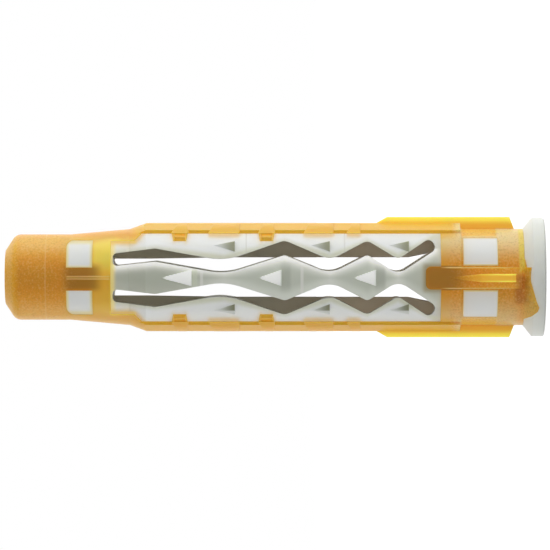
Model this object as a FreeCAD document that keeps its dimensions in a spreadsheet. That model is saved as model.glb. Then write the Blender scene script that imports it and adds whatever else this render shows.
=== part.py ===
import FreeCAD, Part

# Wall plug for an 8 mm hole, moulded in two shots: a hard grey core, and a soft orange
# jacket that is moulded over it and bonded to it. All lengths are millimetres.
# z = 0 is the outer face of the collar and +Z runs along the plug to its nose.
# The window that faces -Y is the front, and the back repeats the front. +X and -X are
# the sides that the jacket closes with a strip of its full length.
import math
import os
from types import SimpleNamespace

import Sketcher

# Alias, millimetres, meaning.
SIZES = [
    ("nose_chamfer", 0.76, "chamfer at the tip, along the plug"),
    ("collar_over_body", 0.38, "collar's rim beyond the body"),
    ("collar_rim_length", 0.91, "cylindrical part of the collar"),
    ("collar_cone", 0.64, "rim of the collar to the end of its cone"),
    ("collar_edge", 0.10, "chamfer of the collar's outer edge"),
    ("countersink_radius", 2.80, "mouth of the screw bore"),
    ("countersink_depth", 0.60, "mouth down to the entry bore"),
    ("entry_radius", 2.25, "bore that takes the screw's shank"),
    ("entry_depth", 6.30, "collar face to the start of the funnel"),
    ("funnel_length", 3.75, "funnel between the entry bore and the bore"),
    ("bore_radius", 1.505, "bore that the screw's thread cuts into"),
    ("bore_taper_run", 3.99, "second crest to the start of the bore's taper"),
    ("bore_taper_length", 6, "taper of the bore"),
    ("tip_bore_radius", 1.414, "bore from the taper to the tip"),
    ("neck_under_body", 0.44, "neck below the body"),
    ("neck_skin", 0.36, "jacket thickness round the neck"),
    ("neck_rest", 0.15, "neck windows to the step up to the body"),
    ("body_radius", 4.02, "jacket along the body"),
    ("body_skin", 0.24, "jacket thickness along the body"),
    ("shoulder_run", 0.7, "first crest to the shoulder"),
    ("shoulder_length", 1.25, "shoulder along the plug"),
    ("flare_under_body", 0.455, "shoulder's nose end below the body"),
    ("flare_length", 4.4, "taper behind the nose"),
    ("nose_under_flare", 0.395, "nose below the shoulder's nose end"),
    ("flare_skin", 0.36, "jacket thickness at the nose end of the shoulder"),
    ("flare_step", 0.60, "end of the long window to the core's step to its nose"),
    ("nose_skin", 0.27, "jacket thickness over the end of the core"),
    ("core_rest", 0.27, "nose windows to the end of the core"),
    ("nose_straight", 4.05, "straight part of the nose"),
    ("nose_chamfer_round", 0.75, "rounding where the chamfer starts"),
    ("tip_ring", 0.586, "flat ring at the tip round the bore"),
    ("web_half", 0.35, "half the web that the slots leave at mid thickness"),
    ("slot_nose_run", 3.15, "first crest to the slots' nose end"),
    ("slot_nose_leg", 0.84, "slot edge on the leg at the nose end"),
    ("slot_nose_shell", 1.76, "slot edge on the shell at the nose end"),
    ("slot_nose_round", 0.33, "corners at the nose end"),
    ("crest_1_run", 5.12, "first waist to the first crest"),
    ("crest_1_leg", 1.19, "half width of the leg there"),
    ("crest_1_shell_inset", 1.1, "slot edge on the shell inside the window"),
    ("crest_1_leg_round", 0.60, "leg corner there"),
    ("crest_1_shell_round", 1.00, "shell corner there"),
    ("crest_2_run", 3.35, "second waist to the second crest"),
    ("crest_2_leg", 1.67, "half width of the leg there"),
    ("crest_2_shell_inset", 0.51, "slot edge on the shell inside the window"),
    ("crest_2_leg_round", 0.45, "leg corner there"),
    ("crest_2_shell_round", 0.80, "shell corner there"),
    ("crest_3_run", 2.27, "third waist to the third crest"),
    ("crest_3_leg", 1.69, "half width of the leg there"),
    ("crest_3_shell_inset", 0.52, "slot edge on the shell inside the window"),
    ("crest_3_leg_round", 0.40, "leg corner there"),
    ("crest_3_shell_round", 0.60, "shell corner there"),
    ("waist_1_run", 4.42, "second crest to the first waist"),
    ("waist_1_leg", 0.28, "meeting point of the leg's flanks there"),
    ("waist_1_shell", 1.235, "meeting point of the shell's flanks there"),
    ("waist_1_leg_round", 4.60, "leg curve there"),
    ("waist_1_shell_round", 5.00, "shell curve there"),
    ("waist_2_run", 2.73, "third crest to the second waist"),
    ("waist_2_leg", 0.30, "meeting point of the leg's flanks there"),
    ("waist_2_shell", 1.31, "meeting point of the shell's flanks there"),
    ("waist_2_leg_round", 2.00, "leg curve there"),
    ("waist_2_shell_round", 1.45, "shell curve there"),
    ("waist_3_run", 3.14, "window's start to the third waist"),
    ("waist_3_leg", 0.25, "meeting point of the leg's flanks there"),
    ("waist_3_shell", 1.37, "meeting point of the shell's flanks there"),
    ("waist_3_leg_round", 1.10, "leg curve there"),
    ("waist_3_shell_round", 0.55, "shell curve there"),
    ("slot_collar_leg_run", 0.28, "window's start to the slot's end, leg side"),
    ("slot_collar_leg", 2.12, "slot edge there"),
    ("slot_collar_shell_run", 0.78, "window's start to the slot's end, shell side"),
    ("slot_collar_inset", 0.32, "slot's collar end inside the window"),
    ("slot_collar_round", 0.42, "corners at the collar end"),
    ("barb_rise", 0.28, "height of a barb's base above the core"),
    ("leg_barb_half", 0.60, "half width of a leg barb's base"),
    ("leg_barb_1_length", 2.32, "first leg barb"),
    ("leg_barb_1_run", 2.69, "first crest to the first leg barb's base"),
    ("leg_barb_2_length", 1.75, "second leg barb"),
    ("leg_barb_2_run", 0.24, "second crest to the second leg barb's base"),
    ("leg_barb_3_length", 1.72, "third leg barb"),
    ("leg_barb_3_run", 0.63, "third crest to the third leg barb's base"),
    ("shell_barb_width", 0.76, "base of a shell barb across the core"),
    ("shell_barb_inset", 0.55, "shell barbs inside the window's side"),
    ("shell_barb_slant", 0.31, "point of a shell barb from its outer side"),
    ("shell_barb_drop", 0.72, "base of a shell barb below the body"),
    ("shell_barb_height", 1.1, "inner end of a shell barb below its top"),
    ("shell_barb_1_length", 1.6, "first shell barb"),
    ("shell_barb_1_run", 0.74, "first waist to the first shell barb's base"),
    ("shell_barb_2_length", 1.4, "second shell barb"),
    ("shell_barb_2_run", 0.04, "second waist to the second shell barb's base"),
    ("shell_barb_3_length", 1.48, "third shell barb"),
    ("shell_barb_3_run", 0.79, "third waist to the third shell barb's base"),
    ("window_inset", 0.77, "long window's side inside the body's outline"),
    ("band_length", 1.5, "band between the neck and the long window"),
    ("narrowing_run", 0.31, "shoulder to the window's narrowing"),
    ("narrowing_length", 0.56, "narrowing along the plug"),
    ("narrow_inset", 0.55, "narrow end inside the window's side"),
    ("window_rest", 0.15, "slots' nose end to the window's nose end"),
    ("tab_depth", 0.55, "tab's inner end inside the window's side"),
    ("tab_length", 1.16, "tab along the plug"),
    ("tab_slope", 0.10, "slope of a tab's flanks"),
    ("tab_1_run", 2.37, "first crest to the first tab"),
    ("tab_2_run", 0.77, "second crest to the second tab"),
    ("tab_facet", 0.27, "lower edge of the light facet on a tab"),
    ("tab_notch", 0.16, "depth of that facet at the window's edge"),
    ("ledge_width", 0.25, "lower light facet across the plug"),
    ("ledge_inset", 0.04, "upper edge of the facets inside the outline"),
    ("tooth_rise", 0.03, "height of the strip's teeth above the body"),
    ("tooth_slope", 0.45, "slanted start of a tooth"),
    ("tooth_1_run", 1.08, "first waist to the first tooth"),
    ("tooth_1_length", 2.33, "first tooth"),
    ("tooth_2_run", 0.24, "second waist to the second tooth"),
    ("tooth_2_length", 2.23, "second tooth"),
    ("tooth_3_run", 0.5, "third crest to the third tooth"),
    ("tooth_3_length", 1.04, "third tooth"),
    ("neck_window_inner", 0.90, "side of a neck window next to the bar"),
    ("neck_window_inset", 0.66, "neck windows inside the neck's outline"),
    ("neck_window_gap", 1.95, "collar to the neck windows"),
    ("neck_window_length", 2.57, "neck windows along the plug"),
    ("nose_window_upper_inner", 0.75, "side next to the bridge of the +X window"),
    ("nose_window_lower_inner", 0.95, "side next to the bridge of the -X window"),
    ("nose_window_inset", 0.42, "nose windows inside the nose's outline"),
    ("nose_window_gap", 1.34, "long window to the nose windows"),
    ("nose_window_length", 1.94, "nose windows along the plug"),
    ("nose_window_upper_round", 0.55, "outer corner of the window on the +X side"),
    ("nose_window_lower_round", 0.60, "outer corner of the window on the -X side"),
    ("window_pad_root", 1.00, "foot of the core's window pads, inside the core"),
    ("window_pad_drop", 0.03, "core's window pads below the jacket's surface"),
    ("bar_half", 0.78, "half width of the bar on the neck"),
    ("bar_over_body", 0.1, "flat top of the bar above the body"),
    ("tongue_half", 0.85, "half width of the tongue on the core"),
    ("tongue_length", 1.12, "tongue into the long window"),
    ("tongue_round", 0.38, "corners of the tongue"),
    ("fin_thickness", 0.60, "thickness of the fins"),
    ("fin_point", 0.10, "blunt width of a bar fin's point"),
    ("fin_over_collar", 0.06, "height of the fins' crest above the collar"),
    ("fin_gap", 0.65, "collar to the fins"),
    ("fin_start_slope", 0.35, "sloping start of the fins"),
    ("side_fin_run", 3.89, "window's start to the end of a side fin's crest"),
    ("side_fin_end_slope", 0.78, "sloping end of a side fin"),
    ("bar_fin_crest", 2.25, "crest of a bar fin"),
    ("bar_fin_end_slope", 2.2, "sloping end of a bar fin"),
    ("bridge_gap", 0.05, "long window to the ridge"),
    ("bridge_length", 3.26, "ridge along the plug"),
    ("bridge_half", 0.18, "half width of the wide end"),
    ("bridge_tip_half", 0.04, "half width of the narrow end"),
    ("bridge_rise", 0.06, "height of the ridge above the jacket"),
    ("feed_rise", 0.14, "thickness of the feed tail on the collar's cone"),
    ("feed_rim_rise", 0.05, "thickness of the feed tail on the collar's rim"),
]

# Outline of the feed tail in the XZ plane: it leaves the neck and ends in a blunt
# point on the rim. Alias, millimetres, meaning.
FEED_SIZES = [
    ("feed_root_z", 1.80, "root of the tail, inside the neck"),
    ("feed_right", 1.60, "edge of the root past the middle"),
    ("feed_lip", 1.35, "start of the long edge"),
    ("feed_lip_z", 1.52, "height of that start"),
    ("feed_bend", 0.40, "bend of the long edge"),
    ("feed_bend_z", 1.33, "height of that bend"),
    ("feed_end", -1.75, "end of the long edge"),
    ("feed_end_z", 0.70, "height of that end"),
    ("feed_point_right", -2.20, "near corner of the blunt point"),
    ("feed_point_right_z", 0.50, "height of that corner"),
    ("feed_point_left", -2.50, "far corner of the blunt point"),
    ("feed_point_left_z", 0.60, "height of that corner"),
    ("feed_side", -2.85, "bend of the short edge"),
    ("feed_side_z", 1.05, "height of that bend"),
    ("feed_left", -3.15, "edge of the root near the side"),
]

# Radii and heights that follow others: name, what it is measured from, sign, step.
PLACES = [
    ("collar_radius", "body_radius", "+", "collar_over_body"),
    ("neck_radius", "body_radius", "-", "neck_under_body"),
    ("flare_radius", "body_radius", "-", "flare_under_body"),
    ("nose_radius", "flare_radius", "-", "nose_under_flare"),
    ("nose_tip_radius", "tip_bore_radius", "+", "tip_ring"),
    ("bar_height", "body_radius", "+", "bar_over_body"),
    ("window_half", "body_radius", "-", "window_inset"),
    ("window_narrow_half", "window_half", "-", "narrow_inset"),
    ("ledge_low", "window_half", "+", "ledge_width"),
    ("ledge_high", "body_radius", "-", "ledge_inset"),
    ("tab_reach", "window_half", "-", "tab_depth"),
    ("tab_ledge", "window_half", "-", "tab_facet"),
    ("neck_window_outer", "neck_radius", "-", "neck_window_inset"),
    ("nose_window_outer", "nose_radius", "-", "nose_window_inset"),
    ("crest_1_shell", "window_half", "-", "crest_1_shell_inset"),
    ("crest_2_shell", "window_half", "-", "crest_2_shell_inset"),
    ("crest_3_shell", "window_half", "-", "crest_3_shell_inset"),
    ("slot_collar_shell", "window_half", "-", "slot_collar_inset"),
    ("shell_barb_outer", "window_half", "-", "shell_barb_inset"),
    ("shell_barb_inner", "shell_barb_outer", "-", "shell_barb_width"),
    ("shell_barb_point", "shell_barb_outer", "-", "shell_barb_slant"),
    ("shell_barb_top", "body_radius", "-", "shell_barb_drop"),
    ("shell_barb_root", "shell_barb_top", "-", "shell_barb_height"),
    ("collar_length", "collar_rim_length", "+", "collar_cone"),
    ("neck_window_start", "collar_length", "+", "neck_window_gap"),
    ("neck_window_end", "neck_window_start", "+", "neck_window_length"),
    ("neck_end", "neck_window_end", "+", "neck_rest"),
    ("window_start", "neck_end", "+", "band_length"),
    ("bore_start", "entry_depth", "+", "funnel_length"),
    ("slot_collar_leg_z", "window_start", "+", "slot_collar_leg_run"),
    ("slot_collar_shell_z", "window_start", "+", "slot_collar_shell_run"),
    ("tongue_end", "window_start", "+", "tongue_length"),
    ("waist_3_z", "window_start", "+", "waist_3_run"),
    ("crest_3_z", "waist_3_z", "+", "crest_3_run"),
    ("waist_2_z", "crest_3_z", "+", "waist_2_run"),
    ("crest_2_z", "waist_2_z", "+", "crest_2_run"),
    ("waist_1_z", "crest_2_z", "+", "waist_1_run"),
    ("crest_1_z", "waist_1_z", "+", "crest_1_run"),
    ("slot_nose_z", "crest_1_z", "+", "slot_nose_run"),
    ("shoulder_start", "crest_1_z", "+", "shoulder_run"),
    ("shoulder_end", "shoulder_start", "+", "shoulder_length"),
    ("window_narrow_start", "shoulder_start", "+", "narrowing_run"),
    ("window_narrow_end", "window_narrow_start", "+", "narrowing_length"),
    ("window_end", "slot_nose_z", "+", "window_rest"),
    ("nose_window_start", "window_end", "+", "nose_window_gap"),
    ("nose_window_end", "nose_window_start", "+", "nose_window_length"),
    ("flare_end", "shoulder_end", "+", "flare_length"),
    ("core_end", "nose_window_end", "+", "core_rest"),
    ("nose_chamfer_start", "flare_end", "+", "nose_straight"),
    ("plug_length", "nose_chamfer_start", "+", "nose_chamfer"),
    ("bore_taper_start", "crest_2_z", "+", "bore_taper_run"),
    ("bore_taper_end", "bore_taper_start", "+", "bore_taper_length"),
    ("bridge_start", "window_end", "+", "bridge_gap"),
    ("bridge_end", "bridge_start", "+", "bridge_length"),
    ("leg_barb_1_base", "crest_1_z", "-", "leg_barb_1_run"),
    ("leg_barb_1_tip", "leg_barb_1_base", "+", "leg_barb_1_length"),
    ("leg_barb_2_base", "crest_2_z", "+", "leg_barb_2_run"),
    ("leg_barb_2_tip", "leg_barb_2_base", "+", "leg_barb_2_length"),
    ("leg_barb_3_base", "crest_3_z", "-", "leg_barb_3_run"),
    ("leg_barb_3_tip", "leg_barb_3_base", "+", "leg_barb_3_length"),
    ("shell_barb_1_base", "waist_1_z", "-", "shell_barb_1_run"),
    ("shell_barb_1_tip", "shell_barb_1_base", "+", "shell_barb_1_length"),
    ("shell_barb_2_base", "waist_2_z", "+", "shell_barb_2_run"),
    ("shell_barb_2_tip", "shell_barb_2_base", "+", "shell_barb_2_length"),
    ("shell_barb_3_base", "waist_3_z", "-", "shell_barb_3_run"),
    ("shell_barb_3_tip", "shell_barb_3_base", "+", "shell_barb_3_length"),
    ("tab_1_start", "crest_1_z", "-", "tab_1_run"),
    ("tab_2_start", "crest_2_z", "+", "tab_2_run"),
    ("tooth_1_start", "waist_1_z", "-", "tooth_1_run"),
    ("tooth_1_end", "tooth_1_start", "+", "tooth_1_length"),
    ("tooth_2_start", "waist_2_z", "-", "tooth_2_run"),
    ("tooth_2_end", "tooth_2_start", "+", "tooth_2_length"),
    ("tooth_3_start", "crest_3_z", "+", "tooth_3_run"),
    ("tooth_3_end", "tooth_3_start", "+", "tooth_3_length"),
    ("fin_base_start", "collar_length", "+", "fin_gap"),
    ("fin_crest_start", "fin_base_start", "+", "fin_start_slope"),
    ("side_fin_crest_end", "window_start", "+", "side_fin_run"),
    ("side_fin_base_end", "side_fin_crest_end", "+", "side_fin_end_slope"),
    ("bar_fin_crest_end", "fin_crest_start", "+", "bar_fin_crest"),
    ("bar_fin_base_end", "bar_fin_crest_end", "+", "bar_fin_end_slope"),
]

SHEET_NAME = "Sizes"
EVERY_SIDE = (1, -1)


class Dim:
    """A number of millimetres with the expression that ties it to the sheet."""

    def __init__(self, value, text):
        self.value = value
        self.text = text

    def __add__(self, other):
        return joined(self, "+", other)

    def __sub__(self, other):
        return joined(self, "-", other)

    def __mul__(self, other):
        return joined(self, "*", other)

    def __truediv__(self, other):
        return joined(self, "/", other)

    def __neg__(self):
        return self * -1


def as_dim(size):
    """Return a plain number as a size."""
    if isinstance(size, Dim):
        return size
    return Dim(float(size), "%g" % size)


def joined(first, sign, second):
    """Return the sum, difference, product or quotient of two sizes."""
    left = as_dim(first)
    right = as_dim(second)
    results = {
        "+": left.value + right.value,
        "-": left.value - right.value,
        "*": left.value * right.value,
    }
    value = left.value / right.value if sign == "/" else results[sign]
    return Dim(value, "(%s %s %s)" % (left.text, sign, right.text))


def circle_depth(radius, across):
    """Return how far a circle lies from the axis at a distance across it."""
    value = math.sqrt(radius.value ** 2 - across.value ** 2)
    return Dim(value, "sqrt(%s ^ 2 - %s ^ 2)" % (radius.text, across.text))


def fin_crest(s):
    """Return how far the fins' crest lies from the axis."""
    return s.collar_radius + s.fin_over_collar


def taper_radius(s, height):
    """Return the jacket's radius at a height on the taper behind the nose."""
    slope = (s.flare_radius - s.nose_radius) / (s.flare_end - s.shoulder_end)
    return s.flare_radius - slope * (height - s.shoulder_end)


def fill_sheet(doc):
    """Write the driving sizes to the sheet and return them as named sizes."""
    sheet = doc.addObject("Spreadsheet::Sheet", SHEET_NAME)
    sizes = {}
    for row, (alias, value, meaning) in enumerate(SIZES + FEED_SIZES, start=1):
        sheet.set("A%d" % row, alias)
        sheet.set("B%d" % row, "%g" % value)
        sheet.setAlias("B%d" % row, alias)
        sheet.set("C%d" % row, meaning)
        sizes[alias] = Dim(value, "%s.%s" % (SHEET_NAME, alias))
    doc.recompute()
    for name, base, sign, step in PLACES:
        sizes[name] = joined(sizes[base], sign, sizes[step])
    return SimpleNamespace(**sizes)


def bind(feature, name, size):
    """Set a property of a feature to a size and keep it tied to the sheet."""
    size = as_dim(size)
    setattr(feature, name, size.value)
    feature.setExpression(name, size.text)


def origin_feature(body, role):
    """Return a plane or an axis of the body's own origin."""
    return next(f for f in body.Origin.OriginFeatures if f.Role == role)


def new_sketch(body, name, plane, offset=None):
    """Add a sketch on an origin plane, moved along the plane's normal."""
    sketch = body.newObject("Sketcher::SketchObject", name)
    sketch.AttachmentSupport = [(origin_feature(body, plane), "")]
    sketch.MapMode = "FlatFace"
    if offset is not None:
        sketch.AttachmentOffset.Base.z = offset.value
        sketch.setExpression("AttachmentOffset.Base.z", offset.text)
    return sketch


def corner_arc(before, corner, after, radius):
    """Return the arc that rounds a corner, and whether it runs with the outline."""
    to_before = (before - corner).normalize()
    to_after = (after - corner).normalize()
    half_angle = to_before.getAngle(to_after) / 2
    start = corner + to_before * (radius / math.tan(half_angle))
    end = corner + to_after * (radius / math.tan(half_angle))
    middle = corner + (to_before + to_after).normalize() * (radius / math.sin(half_angle))
    runs_forward = (corner - before).cross(after - corner).z > 0
    first, last = (start, end) if runs_forward else (end, start)
    first_angle = math.atan2(first.y - middle.y, first.x - middle.x)
    last_angle = math.atan2(last.y - middle.y, last.x - middle.x)
    circle = Part.Circle(middle, FreeCAD.Vector(0, 0, 1), radius)
    return Part.ArcOfCircle(circle, first_angle, last_angle), runs_forward, start, end


class Outline:
    """Closed outlines of a sketch, each corner placed by sizes of the sheet."""

    def __init__(self, sketch):
        self.sketch = sketch

    def limit(self, kind, *arguments, size):
        """Add a constraint with a value and tie it to the sheet."""
        index = self.sketch.addConstraint(Sketcher.Constraint(kind, *arguments, size.value))
        self.sketch.setExpression("Constraints[%d]" % index, size.text)

    def place(self, geometry, point, across, up):
        """Fix a point at two distances from the origin of the sketch."""
        for kind, axis, distance in (("DistanceX", -2, across), ("DistanceY", -1, up)):
            distance = as_dim(distance)
            if abs(distance.value) < 1e-9:
                self.sketch.addConstraint(
                    Sketcher.Constraint("PointOnObject", geometry, point, axis))
            elif distance.value > 0:
                self.limit(kind, -1, 1, geometry, point, size=distance)
            else:
                self.limit(kind, geometry, point, -1, 1, size=-distance)

    def add(self, corners):
        """Draw one closed outline through corners (across, up, radius or None)."""
        sketch = self.sketch
        corners = [(as_dim(across), as_dim(up), radius) for across, up, radius in corners]
        spots = [FreeCAD.Vector(across.value, up.value, 0) for across, up, _ in corners]
        count = len(corners)
        starts = list(spots)
        ends = list(spots)
        arcs = {}
        for index, (_, _, radius) in enumerate(corners):
            if radius is not None:
                before = spots[index - 1]
                after = spots[(index + 1) % count]
                arc, forward, arc_start, arc_end = corner_arc(
                    before, spots[index], after, radius.value)
                ends[index] = arc_start
                starts[index] = arc_end
                arcs[index] = (arc, forward)
        lines = [sketch.addGeometry(Part.LineSegment(starts[i], ends[(i + 1) % count]))
                 for i in range(count)]
        for index, (across, up, radius) in enumerate(corners):
            line_in = lines[index - 1]
            line_out = lines[index]
            if radius is None:
                sketch.addConstraint(
                    Sketcher.Constraint("Coincident", line_in, 2, line_out, 1))
                self.place(line_out, 1, across, up)
                continue
            arc, forward = arcs[index]
            arc_id = sketch.addGeometry(arc)
            arc_start, arc_end = (1, 2) if forward else (2, 1)
            corner_id = sketch.addGeometry(Part.Point(spots[index]), True)
            sketch.addConstraint([
                Sketcher.Constraint("Tangent", line_in, 2, arc_id, arc_start),
                Sketcher.Constraint("Tangent", arc_id, arc_end, line_out, 1),
                Sketcher.Constraint("PointOnObject", corner_id, 1, line_in),
                Sketcher.Constraint("PointOnObject", corner_id, 1, line_out),
            ])
            self.limit("Radius", arc_id, size=radius)
            self.place(corner_id, 1, across, up)


def drawn(body, name, plane, outlines, offset=None):
    """Add a sketch that holds the given outlines."""
    sketch = new_sketch(body, name, plane, offset)
    outline = Outline(sketch)
    for corners in outlines:
        outline.add(corners)
    return sketch


def turned(body, kind, name, sketch):
    """Add a Revolution or a Groove of a sketch about the plug's axis."""
    feature = body.newObject("PartDesign::" + kind, name)
    feature.Profile = sketch
    feature.ReferenceAxis = (sketch, ["V_Axis"])
    feature.Angle = 360
    return feature


def extruded(body, kind, name, sketch, length, reversed_way=False, both_ways=False):
    """Add a Pad or a Pocket of a sketch."""
    feature = body.newObject("PartDesign::" + kind, name)
    feature.Profile = sketch
    bind(feature, "Length", length)
    feature.Reversed = reversed_way
    if both_ways:
        feature.SideType = "Symmetric"
    return feature


def mirrored(body, name, features, plane):
    """Repeat features on the other side of an origin plane."""
    feature = body.newObject("PartDesign::Mirrored", name)
    feature.Originals = features
    feature.MirrorPlane = (origin_feature(body, plane), [""])
    body.Tip = feature
    return feature


def core_outer_path(s):
    """Return the core's outer corners from the collar face to the core's nose end."""
    core_step = (s.neck_end + s.window_start) / 2
    nose_step = s.window_end + s.flare_step
    return [
        (s.collar_radius, 0, None),
        (s.collar_radius, s.collar_rim_length, None),
        (s.neck_radius, s.collar_length, None),
        (s.neck_radius - s.neck_skin, s.collar_length, None),
        (s.neck_radius - s.neck_skin, core_step, None),
        (s.body_radius - s.body_skin, core_step, None),
        (s.body_radius - s.body_skin, s.shoulder_start, None),
        (s.flare_radius - s.flare_skin, s.shoulder_end, None),
        (s.flare_radius - s.flare_skin, nose_step, None),
        (s.nose_radius - s.nose_skin, nose_step, None),
        (s.nose_radius - s.nose_skin, s.core_end, None),
    ]


def bore_path(s, end):
    """Return the bore's corners from an end near the tip down to the core's funnel."""
    return [
        (s.tip_bore_radius, end, None),
        (s.tip_bore_radius, s.bore_taper_end, None),
        (s.bore_radius, s.bore_taper_start, None),
        (s.bore_radius, s.bore_start, None),
    ]


def slot_outline(s, side):
    """Return the corners of the wavy slot on one side of the leg."""
    crests = [
        (s.crest_1_z, s.crest_1_leg, s.crest_1_leg_round, s.crest_1_shell, s.crest_1_shell_round),
        (s.crest_2_z, s.crest_2_leg, s.crest_2_leg_round, s.crest_2_shell, s.crest_2_shell_round),
        (s.crest_3_z, s.crest_3_leg, s.crest_3_leg_round, s.crest_3_shell, s.crest_3_shell_round),
    ]
    waists = [
        (s.waist_1_z, s.waist_1_leg, s.waist_1_leg_round, s.waist_1_shell, s.waist_1_shell_round),
        (s.waist_2_z, s.waist_2_leg, s.waist_2_leg_round, s.waist_2_shell, s.waist_2_shell_round),
        (s.waist_3_z, s.waist_3_leg, s.waist_3_leg_round, s.waist_3_shell, s.waist_3_shell_round),
    ]
    leg_side = [(s.slot_nose_leg, s.slot_nose_z, s.slot_nose_round)]
    shell_side = [(s.slot_nose_shell, s.slot_nose_z, s.slot_nose_round)]
    for crest, waist in zip(crests, waists):
        for height, leg, leg_round, shell, shell_round in (crest, waist):
            leg_side.append((leg, height, leg_round))
            shell_side.append((shell, height, shell_round))
    leg_side.append((s.slot_collar_leg, s.slot_collar_leg_z, s.slot_collar_round))
    shell_side.append((s.slot_collar_shell, s.slot_collar_shell_z, s.slot_collar_round))
    loop = leg_side + shell_side[::-1]
    return [(across * side, height, radius) for across, height, radius in loop]


def add_barb(body, name, tip, base, section):
    """Add a pointed barb: flush with the core at its tip, proud at its base.

    The section holds the base's two sides, the point, the root, and the height in
    front of the axis at the tip and at the base.
    """
    first_side, last_side, point, root, tip_height, base_height = section
    barb = body.newObject("PartDesign::AdditiveWedge", name)
    barb.AttachmentSupport = [(origin_feature(body, "XZ_Plane"), "")]
    barb.MapMode = "FlatFace"
    bind(barb, "Ymin", base)
    bind(barb, "Ymax", tip)
    bind(barb, "Xmin", first_side)
    bind(barb, "Xmax", last_side)
    bind(barb, "X2min", point)
    bind(barb, "X2max", point)
    bind(barb, "Zmin", root)
    bind(barb, "Zmax", base_height)
    bind(barb, "Z2min", root)
    bind(barb, "Z2max", tip_height)
    return barb


def build_core(doc, s):
    """Build the hard core: collar, neck, slotted legs with barbs, and screw bore."""
    body = doc.addObject("PartDesign::Body", "core")
    body.Label = "core"
    outer = [(0, 0, None), (s.collar_radius - s.collar_edge, 0, None)] + core_outer_path(s)
    outer[2] = (s.collar_radius, s.collar_edge, None)
    profile = drawn(body, "core_profile", "XZ_Plane", [outer + [(0, s.core_end, None)]])
    turned(body, "Revolution", "core_turning", profile)
    add_window_pads(doc, body, s)
    bore = bore_path(s, s.plug_length) + [
        (s.entry_radius, s.entry_depth, None),
        (s.entry_radius, s.countersink_depth, None),
        (s.countersink_radius, 0, None),
        (0, 0, None),
        (0, s.plug_length, None),
    ]
    turned(body, "Groove", "screw_bore", drawn(body, "screw_bore_profile", "XZ_Plane", [bore]))
    cut_slots(doc, body, s)
    add_barbs(doc, body, s)
    return body


def add_window_pads(doc, body, s):
    """Raise the core into the neck and nose windows, almost flush with the jacket."""
    outlines = neck_windows(s) + nose_windows(s)
    pads = drawn(body, "window_pad_outlines", "XZ_Plane", outlines, s.window_pad_root)
    front_pads = extruded(body, "Pad", "front_window_pads", pads, s.body_radius)
    doc.recompute()
    mirrored(body, "back_window_pads", [front_pads], "XZ_Plane")
    doc.recompute()
    neck_top = s.neck_radius - s.window_pad_drop
    nose_top = s.nose_radius - s.window_pad_drop
    reach = s.body_radius * 2
    trim = drawn(body, "window_pad_trim_profile", "XZ_Plane", [
        [
            (neck_top, s.neck_window_start, None),
            (reach, s.neck_window_start, None),
            (reach, s.neck_window_end, None),
            (neck_top, s.neck_window_end, None),
        ],
        [
            (taper_radius(s, s.nose_window_start) - s.window_pad_drop,
             s.nose_window_start, None),
            (reach, s.nose_window_start, None),
            (reach, s.nose_window_end, None),
            (nose_top, s.nose_window_end, None),
            (nose_top, s.flare_end, None),
        ],
    ])
    turned(body, "Groove", "window_pad_trim", trim)
    doc.recompute()


def cut_slots(doc, body, s):
    """Cut the wavy slots that leave the leg standing between the two shells."""
    fronts = []
    for name, side in (("upper", 1), ("lower", -1)):
        outline = drawn(body, name + "_slot_outline", "XZ_Plane",
                        [slot_outline(s, side)], s.web_half)
        fronts.append(extruded(body, "Pocket", name + "_slot", outline, s.body_radius, True))
    doc.recompute()
    mirrored(body, "back_slots", fronts, "XZ_Plane")
    doc.recompute()


def add_barbs(doc, body, s):
    """Add the rows of barbs on the leg and on both shells."""
    leg_rows = [
        (s.leg_barb_1_tip, s.leg_barb_1_base),
        (s.leg_barb_2_tip, s.leg_barb_2_base),
        (s.leg_barb_3_tip, s.leg_barb_3_base),
    ]
    shell_rows = [
        (s.shell_barb_1_tip, s.shell_barb_1_base),
        (s.shell_barb_2_tip, s.shell_barb_2_base),
        (s.shell_barb_3_tip, s.shell_barb_3_base),
    ]
    core_radius = s.body_radius - s.body_skin
    leg_section = (-s.leg_barb_half, s.leg_barb_half, 0, core_radius - s.body_skin,
                   core_radius, core_radius + s.barb_rise)
    shell_heights = (s.shell_barb_root, circle_depth(core_radius, s.shell_barb_point),
                     s.shell_barb_top)
    upper_section = (s.shell_barb_inner, s.shell_barb_outer, s.shell_barb_point) + shell_heights
    lower_section = (-s.shell_barb_outer, -s.shell_barb_inner, -s.shell_barb_point) + shell_heights
    barbs = [
        add_barb(body, "%s_barb_%d" % (name, row), tip, base, section)
        for name, rows, section in (("leg", leg_rows, leg_section),
                                    ("upper", shell_rows, upper_section),
                                    ("lower", shell_rows, lower_section))
        for row, (tip, base) in enumerate(rows, start=1)
    ]
    doc.recompute()
    mirrored(body, "back_barbs", barbs, "XZ_Plane")


def long_window(s):
    """Return the corners of the long window, with the tabs standing into it."""
    tabs = []
    for start in (s.tab_2_start, s.tab_1_start):
        end = start + s.tab_length
        tabs += [
            (s.window_half, start, None),
            (s.tab_reach, start + s.tab_slope, None),
            (s.tab_reach, end - s.tab_slope, None),
            (s.window_half, end, None),
        ]
    right = [(s.window_half, s.window_start, None)] + tabs + [
        (s.window_half, s.window_narrow_start, None),
        (s.window_narrow_half, s.window_narrow_end, None),
        (s.window_narrow_half, s.window_end, None),
    ]
    left = [(-across, height, radius) for across, height, radius in reversed(right)]
    return right + left


def small_window(inner, outer, start, end, side, rounding=None):
    """Return the corners of a neck or nose window on one side of the middle."""
    return [
        (inner * side, start, None),
        (outer * side, start, None),
        (outer * side, end, rounding),
        (inner * side, end, None),
    ]


def neck_windows(s):
    """Return the outlines of the two neck windows."""
    return [
        small_window(s.neck_window_inner, s.neck_window_outer, s.neck_window_start,
                     s.neck_window_end, side)
        for side in EVERY_SIDE
    ]


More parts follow.
